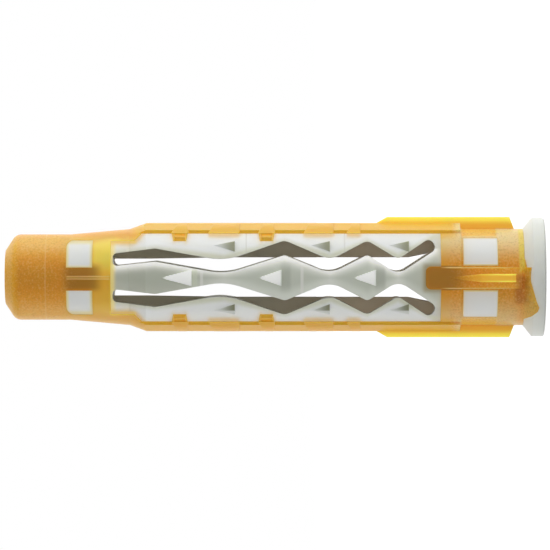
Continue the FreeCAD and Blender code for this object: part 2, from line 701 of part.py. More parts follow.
def nose_windows(s):
    """Return the outlines of the two nose windows, which are not quite alike."""
    return [
        small_window(inner, s.nose_window_outer, s.nose_window_start,
                     s.nose_window_end, side, outer_round)
        for side, inner, outer_round in (
            (1, s.nose_window_upper_inner, s.nose_window_upper_round),
            (-1, s.nose_window_lower_inner, s.nose_window_lower_round),
        )
    ]


def ledge_section(s, side, low, depth, high, high_depth, foot):
    """Return the cross-section cut off a strip's edge to leave two flat facets."""
    reach = fin_crest(s)
    return [
        (foot * side, -depth, None),
        (low * side, -depth, None),
        (high * side, -high_depth, None),
        (reach * side, -high_depth, None),
        (reach * side, -reach, None),
        (foot * side, -reach, None),
    ]


def tooth_outline(s, side, start, end, end_slope, start_slope):
    """Return the outline of a tooth on a strip's edge, seen from the front."""
    return [
        (s.window_half * side, start - start_slope, None),
        (s.window_half * side, end + end_slope, None),
        (s.body_radius * side, end - s.tooth_slope, None),
        (s.body_radius * side, start + start_slope, None),
    ]


def build_jacket(doc, s):
    """Build the soft jacket: neck, side strips with tabs, windows, fins and nose."""
    body = doc.addObject("PartDesign::Body", "jacket")
    body.Label = "jacket"
    outside = drawn(body, "jacket_profile", "XZ_Plane", [[
        (0, s.collar_length, None),
        (s.neck_radius, s.collar_length, None),
        (s.neck_radius, s.neck_end, None),
        (s.body_radius, s.neck_end, None),
        (s.body_radius, s.shoulder_start, None),
        (s.flare_radius, s.shoulder_end, None),
        (s.nose_radius, s.flare_end, None),
        (s.nose_radius, s.nose_chamfer_start, s.nose_chamfer_round),
        (s.nose_tip_radius, s.plug_length, None),
        (0, s.plug_length, None),
    ]])
    turned(body, "Revolution", "jacket_turning", outside)

    add_strip_facets(doc, body, s)
    add_strip_teeth(doc, body, s)
    cut_windows(doc, body, s)
    add_bars_and_fins(doc, body, s)
    add_feed_tail(doc, body, s)

    hollow = [(0, 0, None)] + core_outer_path(s) + [
        (s.tip_bore_radius, s.core_end, None),
        (s.tip_bore_radius, s.plug_length, None),
        (0, s.plug_length, None),
    ]
    turned(body, "Groove", "core_space", drawn(body, "core_space_profile", "XZ_Plane", [hollow]))
    return body


def add_strip_facets(doc, body, s):
    """Cut the two flat facets along each edge of the side strips."""
    low_depth = circle_depth(s.body_radius, s.ledge_low)
    high_depth = circle_depth(s.body_radius, s.ledge_high)
    facets = drawn(body, "strip_facets", "XY_Plane", [
        ledge_section(s, side, s.ledge_low, low_depth, s.ledge_high, high_depth, s.window_half)
        for side in EVERY_SIDE
    ], s.neck_end)
    front = extruded(body, "Pocket", "front_facets", facets, s.shoulder_end - s.neck_end, True)
    doc.recompute()
    mirrored(body, "back_facets", [front], "XZ_Plane")
    doc.recompute()


def add_strip_teeth(doc, body, s):
    """Put the teeth and the roots of the tabs back on the facets at full radius."""
    teeth = []
    for side in EVERY_SIDE:
        for start, end in ((s.tooth_1_start, s.tooth_1_end), (s.tooth_2_start, s.tooth_2_end),
                           (s.tooth_3_start, s.tooth_3_end)):
            teeth.append(tooth_outline(s, side, start, end, as_dim(0), as_dim(0)))
        for start in (s.tab_1_start, s.tab_2_start):
            teeth.append(tooth_outline(
                s, side, start, start + s.tab_length, s.tab_slope, s.tab_slope))
    outlines = drawn(body, "tooth_outlines", "XZ_Plane", teeth)
    front = extruded(body, "Pad", "front_teeth", outlines, s.body_radius)
    doc.recompute()
    mirrored(body, "back_teeth", [front], "XZ_Plane")
    doc.recompute()
    crest = s.body_radius + s.tooth_rise
    reach = s.body_radius * 2
    trim = drawn(body, "tooth_trim_profile", "XZ_Plane", [[
        (crest, s.neck_end, None),
        (reach, s.neck_end, None),
        (reach, s.shoulder_start, None),
        (crest, s.shoulder_start, None),
    ]])
    turned(body, "Groove", "tooth_trim", trim)
    tab_depth = circle_depth(s.body_radius, s.tab_ledge)
    notch_depth = circle_depth(s.body_radius, s.window_half) - s.tab_notch
    inner_side = s.tab_reach - s.tab_slope
    outer_reach = fin_crest(s)
    front_cuts = []
    for number, start in enumerate((s.tab_1_start, s.tab_2_start), start=1):
        section = drawn(body, "tab_ledge_section_%d" % number, "XY_Plane", [
            [
                (inner_side * side, -tab_depth, None),
                (s.tab_ledge * side, -tab_depth, None),
                (s.window_half * side, -notch_depth, None),
                (s.window_half * side, -outer_reach, None),
                (inner_side * side, -outer_reach, None),
            ]
            for side in EVERY_SIDE
        ], start + s.tab_slope * 2)
        front_cuts.append(extruded(
            body, "Pocket", "front_tab_ledge_%d" % number, section,
            s.tab_length - s.tab_slope * 4, True))
    doc.recompute()
    mirrored(body, "back_tab_ledges", front_cuts, "XZ_Plane")
    doc.recompute()


def cut_windows(doc, body, s):
    """Cut the long windows, the neck windows and the nose windows."""
    groups = {
        "long_window": [long_window(s)],
        "neck_windows": neck_windows(s),
        "nose_windows": nose_windows(s),
    }
    fronts = []
    for name, outlines in groups.items():
        windows = drawn(body, name + "_outline", "XZ_Plane", outlines)
        fronts.append(extruded(body, "Pocket", name, windows, fin_crest(s), True))
        doc.recompute()
    mirrored(body, "back_windows", fronts, "XZ_Plane")
    doc.recompute()


def add_bars_and_fins(doc, body, s):
    """Add the neck bars with their tongues and fins, the side fins and nose ridges."""
    bar = drawn(body, "bar_outline", "XZ_Plane", [[
        (s.bar_half, s.collar_rim_length, None),
        (s.bar_half, s.window_start, None),
        (s.tongue_half, s.window_start, None),
        (s.tongue_half, s.tongue_end, s.tongue_round),
        (-s.tongue_half, s.tongue_end, s.tongue_round),
        (-s.tongue_half, s.window_start, None),
        (-s.bar_half, s.window_start, None),
        (-s.bar_half, s.collar_rim_length, None),
    ]])
    front_bar = extruded(body, "Pad", "front_bar", bar, s.bar_height)
    fin_radius = fin_crest(s)
    fin_side = s.fin_thickness / 2
    point_side = s.fin_point / 2
    bar_fin = drawn(body, "bar_fin_outline", "XZ_Plane", [[
        (fin_side, s.fin_base_start, None),
        (fin_side, s.bar_fin_crest_end, None),
        (point_side, s.bar_fin_base_end, None),
        (-point_side, s.bar_fin_base_end, None),
        (-fin_side, s.bar_fin_crest_end, None),
        (-fin_side, s.fin_base_start, None),
    ]])
    front_fin = extruded(body, "Pad", "front_fin", bar_fin, fin_radius)
    doc.recompute()
    above = fin_radius + s.fin_thickness
    slopes = drawn(body, "bar_fin_slopes", "YZ_Plane", [
        [
            (-s.bar_height, s.fin_base_start, None),
            (-fin_radius, s.fin_crest_start, None),
            (-above, s.fin_crest_start, None),
            (-above, s.fin_base_start, None),
        ],
        [
            (-fin_radius, s.bar_fin_crest_end, None),
            (-s.bar_height, s.bar_fin_base_end, None),
            (-above, s.bar_fin_base_end, None),
            (-above, s.bar_fin_crest_end, None),
        ],
    ])
    front_slopes = extruded(body, "Pocket", "front_fin_slopes", slopes, s.fin_thickness * 2,
                            both_ways=True)
    ridge = body.newObject("PartDesign::AdditiveWedge", "front_ridge")
    ridge.AttachmentSupport = [(origin_feature(body, "XZ_Plane"), "")]
    ridge.MapMode = "FlatFace"
    start_radius = taper_radius(s, s.bridge_start)
    bind(ridge, "Ymin", s.bridge_start)
    bind(ridge, "Ymax", s.bridge_end)
    bind(ridge, "Xmin", -s.bridge_half)
    bind(ridge, "Xmax", s.bridge_half)
    bind(ridge, "X2min", -s.bridge_tip_half)
    bind(ridge, "X2max", s.bridge_tip_half)
    bind(ridge, "Zmin", start_radius - s.nose_skin)
    bind(ridge, "Zmax", start_radius + s.bridge_rise)
    bind(ridge, "Z2min", s.nose_radius - s.nose_skin)
    bind(ridge, "Z2max", s.nose_radius + s.bridge_rise)
    doc.recompute()
    mirrored(body, "back_bar_fin_and_ridge",
             [front_bar, front_fin, front_slopes, ridge], "XZ_Plane")
    doc.recompute()
    side_fin = drawn(body, "side_fin_outline", "XZ_Plane", [[
        (s.neck_radius - s.neck_skin, s.fin_base_start, None),
        (s.neck_radius, s.fin_base_start, None),
        (fin_radius, s.fin_crest_start, None),
        (fin_radius, s.side_fin_crest_end, None),
        (s.body_radius, s.side_fin_base_end, None),
        (s.neck_radius - s.neck_skin, s.side_fin_base_end, None),
    ]])
    upper_fin = extruded(body, "Pad", "upper_fin", side_fin, s.fin_thickness, both_ways=True)
    doc.recompute()
    mirrored(body, "lower_fin", [upper_fin], "YZ_Plane")
    doc.recompute()


def add_feed_tail(doc, body, s):
    """Add the tail of soft plastic that the mould's feed leaves on the collar."""
    tail = drawn(body, "feed_tail_outline", "XZ_Plane", [[
        (s.feed_right, s.feed_root_z, None),
        (s.feed_lip, s.feed_lip_z, None),
        (s.feed_bend, s.feed_bend_z, None),
        (s.feed_end, s.feed_end_z, None),
        (s.feed_point_right, s.feed_point_right_z, None),
        (s.feed_point_left, s.feed_point_left_z, None),
        (s.feed_side, s.feed_side_z, None),
        (s.feed_left, s.feed_root_z, None),
    ]])
    extruded(body, "Pad", "feed_tail", tail, s.collar_radius + s.feed_rim_rise)
    doc.recompute()
    rim = s.collar_radius + s.feed_rim_rise
    cone = s.neck_radius + s.feed_rise
    reach = s.collar_radius * 2
    trim = drawn(body, "feed_trim_profile", "XZ_Plane", [[
        (rim, 0, None),
        (reach, 0, None),
        (reach, s.feed_root_z, None),
        (s.neck_radius, s.feed_root_z, None),
        (cone, s.collar_length, None),
        (rim, s.collar_rim_length, None),
    ]])
    turned(body, "Groove", "feed_trim", trim)
    doc.recompute()


def check(doc, parts):
    """Stop if any object failed or a sub-part is not one sound solid."""
    for item in doc.Objects:
        if "Invalid" in item.State or "Error" in item.State:
            raise RuntimeError("%s failed: %s" % (item.Name, item.State))
    for part in parts:
        shape = part.Shape
        if shape.isNull() or not shape.isValid() or len(shape.Solids) != 1:
            raise RuntimeError("%s is not one sound solid" % part.Label)


def main():
    """Build the plug and write each of its two pieces to its own file."""
    doc = FreeCAD.newDocument("wall_plug")
    sizes = fill_sheet(doc)
    parts = [build_core(doc, sizes), build_jacket(doc, sizes)]
    doc.recompute()
    check(doc, parts)
    os.makedirs("parts", exist_ok=True)
    for part in parts:
        part.Shape.exportStep("parts/%s.step" % part.Label)
        print(part.Label, round(part.Shape.Volume, 2), "mm3", len(part.Shape.Faces), "faces")


main()
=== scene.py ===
"""Looks of the two-component wall plug: hard grey core, soft orange jacket, studio.

Places on the plug are in millimetres: height runs from the collar's face to the nose, across
runs from the axis to the strip at the top of the photo, and depth runs from the axis to the
front and the back alike.
"""

import logging
import math
from dataclasses import dataclass, field
from enum import Enum
from typing import NamedTuple

import bpy
from mathutils import Matrix, Vector


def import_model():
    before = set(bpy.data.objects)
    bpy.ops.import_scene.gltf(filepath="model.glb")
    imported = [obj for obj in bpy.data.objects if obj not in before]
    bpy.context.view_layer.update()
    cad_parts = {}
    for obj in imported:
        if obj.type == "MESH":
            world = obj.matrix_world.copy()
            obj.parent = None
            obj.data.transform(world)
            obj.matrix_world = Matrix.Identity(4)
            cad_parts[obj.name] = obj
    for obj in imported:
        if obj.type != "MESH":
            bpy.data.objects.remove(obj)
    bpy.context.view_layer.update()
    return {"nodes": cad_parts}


LOG = logging.getLogger("wall_plug")
BEVEL_SAMPLES = 6

# One millimetre in metres, and sizes of the plug in millimetres.
MM = 0.001
CORE_RADIUS = 3.78
BODY_RADIUS = 4.02
FIN_RADIUS = 4.46
PARTING_HEIGHT = 36.86

Colour = tuple[float, float, float]
Socket = bpy.types.NodeSocket
Value = Socket | float


def linear(red: int, green: int, blue: int) -> Colour:
    """Turn a display colour of 0 to 255 into scene-linear values.

    Args:
        red: Display red.
        green: Display green.
        blue: Display blue.

    Returns:
        The three linear values.
    """
    def channel(value: int) -> float:
        """Return one linear channel."""
        share = value / 255
        return share / 12.92 if share <= 0.04045 else ((share + 0.055) / 1.055) ** 2.4

    return channel(red), channel(green), channel(blue)


class Side(Enum):
    """A side of the plug that light comes from."""

    RAIL_TOP = Vector((1.0, 0.0, 0.0))
    RAIL_BOTTOM = Vector((-1.0, 0.0, 0.0))
    BACK = Vector((0.0, 1.0, 0.0))


class Noise(NamedTuple):
    """A noise pattern: its cells per millimetre and its octaves."""

    cells: float
    octaves: float


FINE_GRAIN = Noise(9.0, 2.0)
COARSE_GRAIN = Noise(1.1, 3.0)


class Graph:
    """A small helper that adds and wires shader nodes in one tree."""

    def __init__(self, tree: bpy.types.NodeTree) -> None:
        """Keep the tree.

        Args:
            tree: The node tree of a material, a world or a group.
        """
        self.tree = tree

    def node(self, kind: str, **settings: object) -> bpy.types.Node:
        """Add a node.

        Args:
            kind: The node's type name.
            **settings: Properties to set on it.

        Returns:
            The new node.
        """
        made = self.tree.nodes.new(kind)
        for name, value in settings.items():
            setattr(made, name, value)
        return made

    def link(self, source: Socket, target: Socket) -> None:
        """Wire one socket to another."""
        self.tree.links.new(source, target)

    def feed(self, source: object, target: Socket) -> None:
        """Wire a socket, or write a plain value, into a target socket.

        Args:
            source: The socket or the value.
            target: The socket that takes it.
        """
        if isinstance(source, Socket):
            self.link(source, target)
        else:
            target.default_value = source

    def math(self, operation: str, first: Value, second: Value = 0.0,
             clamp: bool = False) -> Socket:
        """Add a Math node.

        Args:
            operation: Its operation.
            first: First operand, a socket or a number.
            second: Second operand.
            clamp: Whether the result stays between 0 and 1.

        Returns:
            The result socket.
        """
        made = self.node("ShaderNodeMath", operation=operation, use_clamp=clamp)
        self.feed(first, made.inputs[0])
        self.feed(second, made.inputs[1])
        return made.outputs[0]

    def ramp(self, value: Value, start: float, end: float) -> Socket:
        """Add a smooth flank between two values, whichever of them is greater.

        Args:
            value: The value that is looked at.
            start: Where the result is 0.
            end: Where the result is 1.

        Returns:
            The result socket.
        """
        made = self.node("ShaderNodeMapRange", interpolation_type="SMOOTHSTEP")
        self.feed(value, made.inputs["Value"])
        made.inputs["From Min"].default_value = min(start, end)
        made.inputs["From Max"].default_value = max(start, end)
        made.inputs["To Min"].default_value = float(start > end)
        made.inputs["To Max"].default_value = float(start < end)
        return made.outputs["Result"]

    def mix(self, share: Value, first: Socket | Colour, second: Socket | Colour) -> Socket:
        """Mix two colours.

        Args:
            share: Share of the second colour.
            first: First colour, a socket or a linear colour.
            second: Second colour.

        Returns:
            The mixed colour socket.
        """
        # The node has a set of sockets for each data type: 6, 7 and 2 are the colours.
        made = self.node("ShaderNodeMix", data_type="RGBA")
        self.feed(share, made.inputs[0])
        for source, target in ((first, made.inputs[6]), (second, made.inputs[7])):
            self.feed(source if isinstance(source, Socket) else (*source, 1.0), target)
        return made.outputs[2]

    def blend(self, share: Socket, first: bpy.types.Node, second: bpy.types.Node,
              output: bpy.types.Node) -> None:
        """Mix two shaders and hand them to a tree's output.

        Args:
            share: Share of the second shader.
            first: The node of the first shader.
            second: The node of the second shader.
            output: The output node.
        """
        made = self.node("ShaderNodeMixShader")
        self.link(share, made.inputs["Fac"])
        self.link(first.outputs[0], made.inputs[1])
        self.link(second.outputs[0], made.inputs[2])
        self.link(made.outputs[0], output.inputs["Surface"])

    def noise(self, pattern: Noise) -> Socket:
        """Return a noise value over the object's own coordinates.

        Args:
            pattern: The noise pattern.

        Returns:
            The noise value.
        """
        coordinates = self.node("ShaderNodeTexCoord").outputs["Object"]
        mapping = self.node("ShaderNodeMapping")
        mapping.inputs["Scale"].default_value = (pattern.cells / MM,) * 3
        self.link(coordinates, mapping.inputs["Vector"])
        made = self.node("ShaderNodeTexNoise")
        made.inputs["Scale"].default_value = 1.0
        made.inputs["Detail"].default_value = pattern.octaves
        self.link(mapping.outputs["Vector"], made.inputs["Vector"])
        return made.outputs["Fac"]


class Slope(NamedTuple):
    """A flank: 0 at its start and 1 at its end, whichever is greater."""

    start: float
    end: float

    def mask(self, graph: Graph, value: Value) -> Socket:
        """Return where a value stands on the flank."""
        return graph.ramp(value, self.start, self.end)


class Span(NamedTuple):
    """A band: 1 from low to high, with soft flanks outside them."""

    low: float
    high: float
    soft: float

    def mask(self, graph: Graph, value: Value) -> Socket:
        """Return where a value stands in the band.

        Args:
            graph: Where the nodes go.
            value: The value.

        Returns:
            The mask.
        """
        rise = graph.ramp(value, self.low - self.soft, self.low)
        fall = graph.ramp(value, self.high, self.high + self.soft)
        return graph.math("SUBTRACT", rise, fall, clamp=True)

    def moved(self, distance: float) -> "Span":
        """Return the same band, a distance further up."""
        return Span(self.low + distance, self.high + distance, self.soft)


Limit = Slope | Span
SLOT_HEIGHTS = Span(8.3, 31.6, 0.9)


@dataclass(frozen=True)
class Region:
    """A soft-edged part of the plug. A direction without a limit doesn't matter.

    Attributes:
        across: Limit from the axis towards the upper strip.
        side: Limit from the axis towards either strip.
        depth: Limit from the axis towards the front or the back.
        height: Limit from the collar's face towards the nose.
        radius: Limit from the axis outwards.
        leg: Limit from a leg's edge inwards.
        shell: Limit from a shell's edge inwards.
        share: The mask's value inside.
    """

    across: Limit | None = None
    side: Limit | None = None
    depth: Limit | None = None
    height: Limit | None = None
    radius: Limit | None = None
    leg: Limit | None = None
    shell: Limit | None = None
    share: float = 1.0


Mask = Region | Value


@dataclass(frozen=True)
class Rings:
    """Equal bands across the plug at several heights; the band is measured from each."""

    heights: tuple[float, ...]
    band: Span


def place_group() -> bpy.types.ShaderNodeTree:
    """Build the group that gives a point's place on the plug, in millimetres.

    Returns:
        A group with outputs Across, Depth, Height, Radius.
    """
    group = bpy.data.node_groups.new("plug_place", "ShaderNodeTree")
    directions = ("Across", "Depth", "Height")
    for name in (*directions, "Radius"):
        group.interface.new_socket(name, in_out="OUTPUT", socket_type="NodeSocketFloat")
    graph = Graph(group)
    coordinates = graph.node("ShaderNodeTexCoord").outputs["Object"]
    scaled = graph.node("ShaderNodeVectorMath", operation="SCALE")
    scaled.inputs["Scale"].default_value = 1 / MM
    graph.link(coordinates, scaled.inputs[0])
    parts = graph.node("ShaderNodeSeparateXYZ")
    graph.link(scaled.outputs[0], parts.inputs[0])
    out = graph.node("NodeGroupOutput")
    for name, part in zip(directions, parts.outputs):
        graph.link(part, out.inputs[name])
    square = graph.math("ADD", graph.math("POWER", parts.outputs["X"], 2.0),
                        graph.math("POWER", parts.outputs["Y"], 2.0))
    graph.link(graph.math("SQRT", square), out.inputs["Radius"])
    return group


@dataclass(frozen=True)
class SlotCourse:
    """The wavy slots: how far from the axis the leg ends and the shell starts.

    Attributes:
        heights: The knots, in millimetres from the collar's face.
        leg: The leg's half width at each knot.
        shell: Where the shell starts at each knot.
        reach: A distance that no width exceeds.
    """

    heights: tuple[float, ...] = (8.2, 10.86, 13.13, 15.86, 19.21, 23.63, 28.75, 31.9)
    leg: tuple[float, ...] = (2.02, 0.46, 1.55, 0.52, 1.55, 0.52, 1.12, 0.84)
    shell: tuple[float, ...] = (2.93, 1.50, 2.60, 1.50, 2.60, 1.42, 2.05, 1.76)
    reach: float = 3.2

    def curve(self, graph: Graph, height: Socket, widths: tuple[float, ...]) -> Socket:
        """Return a width that follows the height through the knots.

        Args:
            graph: Where the nodes go.
            height: Height on the plug in millimetres.
            widths: The width at each knot.

        Returns:
            The width in millimetres.
        """
        first, last = self.heights[0], self.heights[-1]
        share = graph.node("ShaderNodeMapRange")
        graph.link(height, share.inputs["Value"])
        share.inputs["From Min"].default_value = first
        share.inputs["From Max"].default_value = last
        ramp = graph.node("ShaderNodeValToRGB")
        stops = ramp.color_ramp.elements
        while len(stops) < len(self.heights):
            stops.new(1.0)
        for stop, knot, width in zip(stops, self.heights, widths):
            stop.position = (knot - first) / (last - first)
            stop.color = (width / self.reach,) * 3 + (1.0,)
        graph.link(share.outputs["Result"], ramp.inputs["Fac"])
        return graph.math("MULTIPLY", ramp.outputs["Color"], self.reach)


def course_group(place: bpy.types.ShaderNodeTree) -> bpy.types.ShaderNodeTree:
    """Build the group that tells how far a point lies inside the leg and the shells.

    Args:
        place: The group that gives a point's place.

    Returns:
        A group with outputs Leg and Shell: millimetres from the slot's edge, inwards.
    """
    group = bpy.data.node_groups.new("slot_course", "ShaderNodeTree")
    for name in ("Leg", "Shell"):
        group.interface.new_socket(name, in_out="OUTPUT", socket_type="NodeSocketFloat")
    graph = Graph(group)
    spot = graph.node("ShaderNodeGroup", node_tree=place)
    side = graph.math("ABSOLUTE", spot.outputs["Across"])
    course = SlotCourse()
    leg = course.curve(graph, spot.outputs["Height"], course.leg)
    shell = course.curve(graph, spot.outputs["Height"], course.shell)
    out = graph.node("NodeGroupOutput")
    graph.link(graph.math("SUBTRACT", leg, side), out.inputs["Leg"])
    graph.link(graph.math("SUBTRACT", side, shell), out.inputs["Shell"])
    return group


def grain_group() -> bpy.types.ShaderNodeTree:
    """Build the group for the fine grain that the mould leaves on plastic.

    Returns:
        A group with inputs Fine and Coarse weights and the output Height.
    """
    group = bpy.data.node_groups.new("mould_grain", "ShaderNodeTree")
    for name in ("Fine", "Coarse"):
        group.interface.new_socket(name, in_out="INPUT", socket_type="NodeSocketFloat")
    group.interface.new_socket("Height", in_out="OUTPUT", socket_type="NodeSocketFloat")
    graph = Graph(group)
    source = graph.node("NodeGroupInput")
    fine = graph.math("MULTIPLY", graph.noise(FINE_GRAIN), source.outputs["Fine"])
    coarse = graph.math("MULTIPLY", graph.noise(COARSE_GRAIN), source.outputs["Coarse"])
    out = graph.node("NodeGroupOutput")
    graph.link(graph.math("ADD", fine, coarse), out.inputs["Height"])
    return group


@dataclass(frozen=True)
class Surface:
    """How a moulded surface scatters light.

    Attributes:
        roughness: The shader's roughness.
        shine: The shader's specular level.
        fine: Weight of the fine grain.
        coarse: Weight of the coarse grain.
        bump: Strength of the grain.
        grain_depth: Depth of the grain in millimetres.
        edge: Radius of the softened edges in millimetres.
        soft: Share of the light that travels below the surface.
        spread: How far each colour travels, relative to soft_depth.
        soft_depth: How far the light travels, in millimetres.
    """

    roughness: float
    shine: float
    fine: float
    coarse: float
    bump: float
    grain_depth: float
    edge: float
    soft: float
    spread: Colour
    soft_depth: float


class Finish:
    """A plastic in the making: its places, its tone, its glow and its shader."""

    def __init__(self, name: str, tone: Colour, place: bpy.types.ShaderNodeTree,
                 grain: bpy.types.ShaderNodeTree) -> None:
        """Start a material.

        Args:
            name: The material's name.
            tone: The colour below all others.
            place: The group that gives a point's place.
            grain: The group for the mould's grain.
        """
        self.material = bpy.data.materials.new(name)
        self.material.use_nodes = True
        self.graph = Graph(self.material.node_tree)
        self.shader = self.material.node_tree.nodes["Principled BSDF"]
        self.grain = grain
        self.tone: Socket | Colour = tone
        # Strength of the painted glow, emission in the tone.
        self.shine: Value = 0.0
        spot = self.graph.node("ShaderNodeGroup", node_tree=place)
        self.places = {"across": spot.outputs["Across"],
                       "side": self.graph.math("ABSOLUTE", spot.outputs["Across"]),
                       "depth": self.graph.math("ABSOLUTE", spot.outputs["Depth"]),
                       "height": spot.outputs["Height"],
                       "radius": spot.outputs["Radius"]}

    def follow_slots(self, course: bpy.types.ShaderNodeTree) -> None:
        """Add the places that are measured from the slots' edges.

        Args:
            course: The group that follows the slots.
        """
        edges = self.graph.node("ShaderNodeGroup", node_tree=course)
        self.places["leg"] = edges.outputs["Leg"]
        self.places["shell"] = edges.outputs["Shell"]

    def mask(self, region: Region) -> Value:
        """Return the mask of a region: its share inside, and 0 outside.

        Args:
            region: The region.

        Returns:
            The mask.
        """
        result: Value = region.share
        for name, place in self.places.items():
            limit = getattr(region, name)
            if limit is not None:
                result = self.graph.math("MULTIPLY", result, limit.mask(self.graph, place))
        return result

    def product(self, *masks: Mask) -> Value:
        """Return where every mask holds.

        Args:
            *masks: Regions, sockets and plain shares.

        Returns:
            Their product.
        """
        result: Value = 1.0
        for mask in masks:
            factor = self.mask(mask) if isinstance(mask, Region) else mask
            result = self.graph.math("MULTIPLY", result, factor)
        return result

    def either(self, first: Region, second: Region) -> Socket:
        """Return where at least one of two regions holds."""
        return self.graph.math("MAXIMUM", self.mask(first), self.mask(second))

    def rings(self, rings: Rings) -> Value:
        """Return the mask of equal bands at several heights.

        Args:
            rings: The bands.

        Returns:
            The mask.
        """
        total: Value = 0.0
        for height in rings.heights:
            band = rings.band.moved(height).mask(self.graph, self.places["height"])
            total = self.graph.math("ADD", total, band)
        return total

    def paint(self, colour: Socket | Colour, *masks: Mask) -> None:
        """Lay a colour over the tone where every mask holds.

        Args:
            colour: The colour.
            *masks: Regions, sockets and plain shares.
        """
        self.tone = self.graph.mix(self.product(*masks), self.tone, colour)

    def lighten(self, strength: float, *masks: Mask) -> None:
        """Add a painted glow, emission in the place's own tone, where every mask holds.

        Args:
            strength: How strongly the place glows in its own tone.
            *masks: Regions, sockets and plain shares.
        """
        self.shine = self.graph.math("ADD", self.shine, self.product(strength, *masks))

    def moulded_normal(self, surface: Surface) -> Socket:
        """Return the normal of a surface with the mould's grain and soft edges.

        Args:
            surface: The grain and the edges.

        Returns:
            The normal.
        """
        graph = self.graph
        rough = graph.node("ShaderNodeGroup", node_tree=self.grain)
        rough.inputs["Fine"].default_value = surface.fine
        rough.inputs["Coarse"].default_value = surface.coarse
        bevel = graph.node("ShaderNodeBevel", samples=BEVEL_SAMPLES)
        bevel.inputs["Radius"].default_value = surface.edge * MM
        grainy = graph.node("ShaderNodeBump")
        grainy.inputs["Strength"].default_value = surface.bump
        grainy.inputs["Distance"].default_value = surface.grain_depth * MM
        graph.link(rough.outputs["Height"], grainy.inputs["Height"])
        graph.link(bevel.outputs["Normal"], grainy.inputs["Normal"])
        return grainy.outputs["Normal"]

    def complete(self, surface: Surface) -> bpy.types.Material:
        """Hand the tone, the glow and the surface to the shader.

        Args:
            surface: How the surface scatters light.

        Returns:
            The finished material.
        """
        inputs = self.shader.inputs
        self.graph.link(self.tone, inputs["Base Color"])
        # The painted glow is emission in the tone's own colour.
        self.graph.link(self.tone, inputs["Emission Color"])
        self.graph.link(self.shine, inputs["Emission Strength"])
        self.graph.link(self.moulded_normal(surface), inputs["Normal"])
        inputs["Roughness"].default_value = surface.roughness
        inputs["Specular IOR Level"].default_value = surface.shine
        inputs["Subsurface Weight"].default_value = surface.soft
        inputs["Subsurface Radius"].default_value = surface.spread
        inputs["Subsurface Scale"].default_value = surface.soft_depth * MM
        return self.material

    def pass_light(self, colour: Colour, direct: float, bounced: float) -> None:
        """Let part of the light through where the plastic would cast a shadow.

        Args:
            colour: The colour of the light that gets through.
            direct: The share of it that comes straight from the lamps and the world.
            bounced: The share of the light that other surfaces receive through it.
        """
        graph = self.graph
        clear = graph.node("ShaderNodeBsdfTransparent")
        clear.inputs["Color"].default_value = (*colour, 1.0)
        path = graph.node("ShaderNodeLightPath")
        shadows = graph.math("MULTIPLY", path.outputs["Is Shadow Ray"], direct)
        others = graph.math("MULTIPLY", path.outputs["Is Diffuse Ray"], bounced)
        graph.blend(graph.math("MAXIMUM", shadows, others), self.shader, clear,
                    self.material.node_tree.nodes["Material Output"])


@dataclass(frozen=True)
class Window:
    """An opening in the jacket, through which the core shows.

    Attributes:
        low: Height of its end towards the collar.
        high: Height of its end towards the nose.
        inner: Distance of its inner side from the axis.
        outer: Distance of its outer side from the axis.
        soft: Width of the painted jacket light round it.
        end_edge: Softness of its two ends.
        side_edge: Softness of its inner side.
    """

    low: float
    high: float
    inner: float
    outer: float
    soft: float
    end_edge: float = 0.02
    side_edge: float = 0.1

    def whole(self) -> Region:
        """Return the whole opening."""
        return Region(height=Span(self.low, self.high, self.end_edge),
                      side=Slope(self.inner - self.side_edge, self.inner))

    def clear(self) -> Region:
        """Return its middle, without the painted jacket light."""
        return Region(height=Span(self.low + self.soft, self.high - self.soft, self.soft),
                      side=Span(self.inner + self.soft, self.outer - self.soft, self.soft))


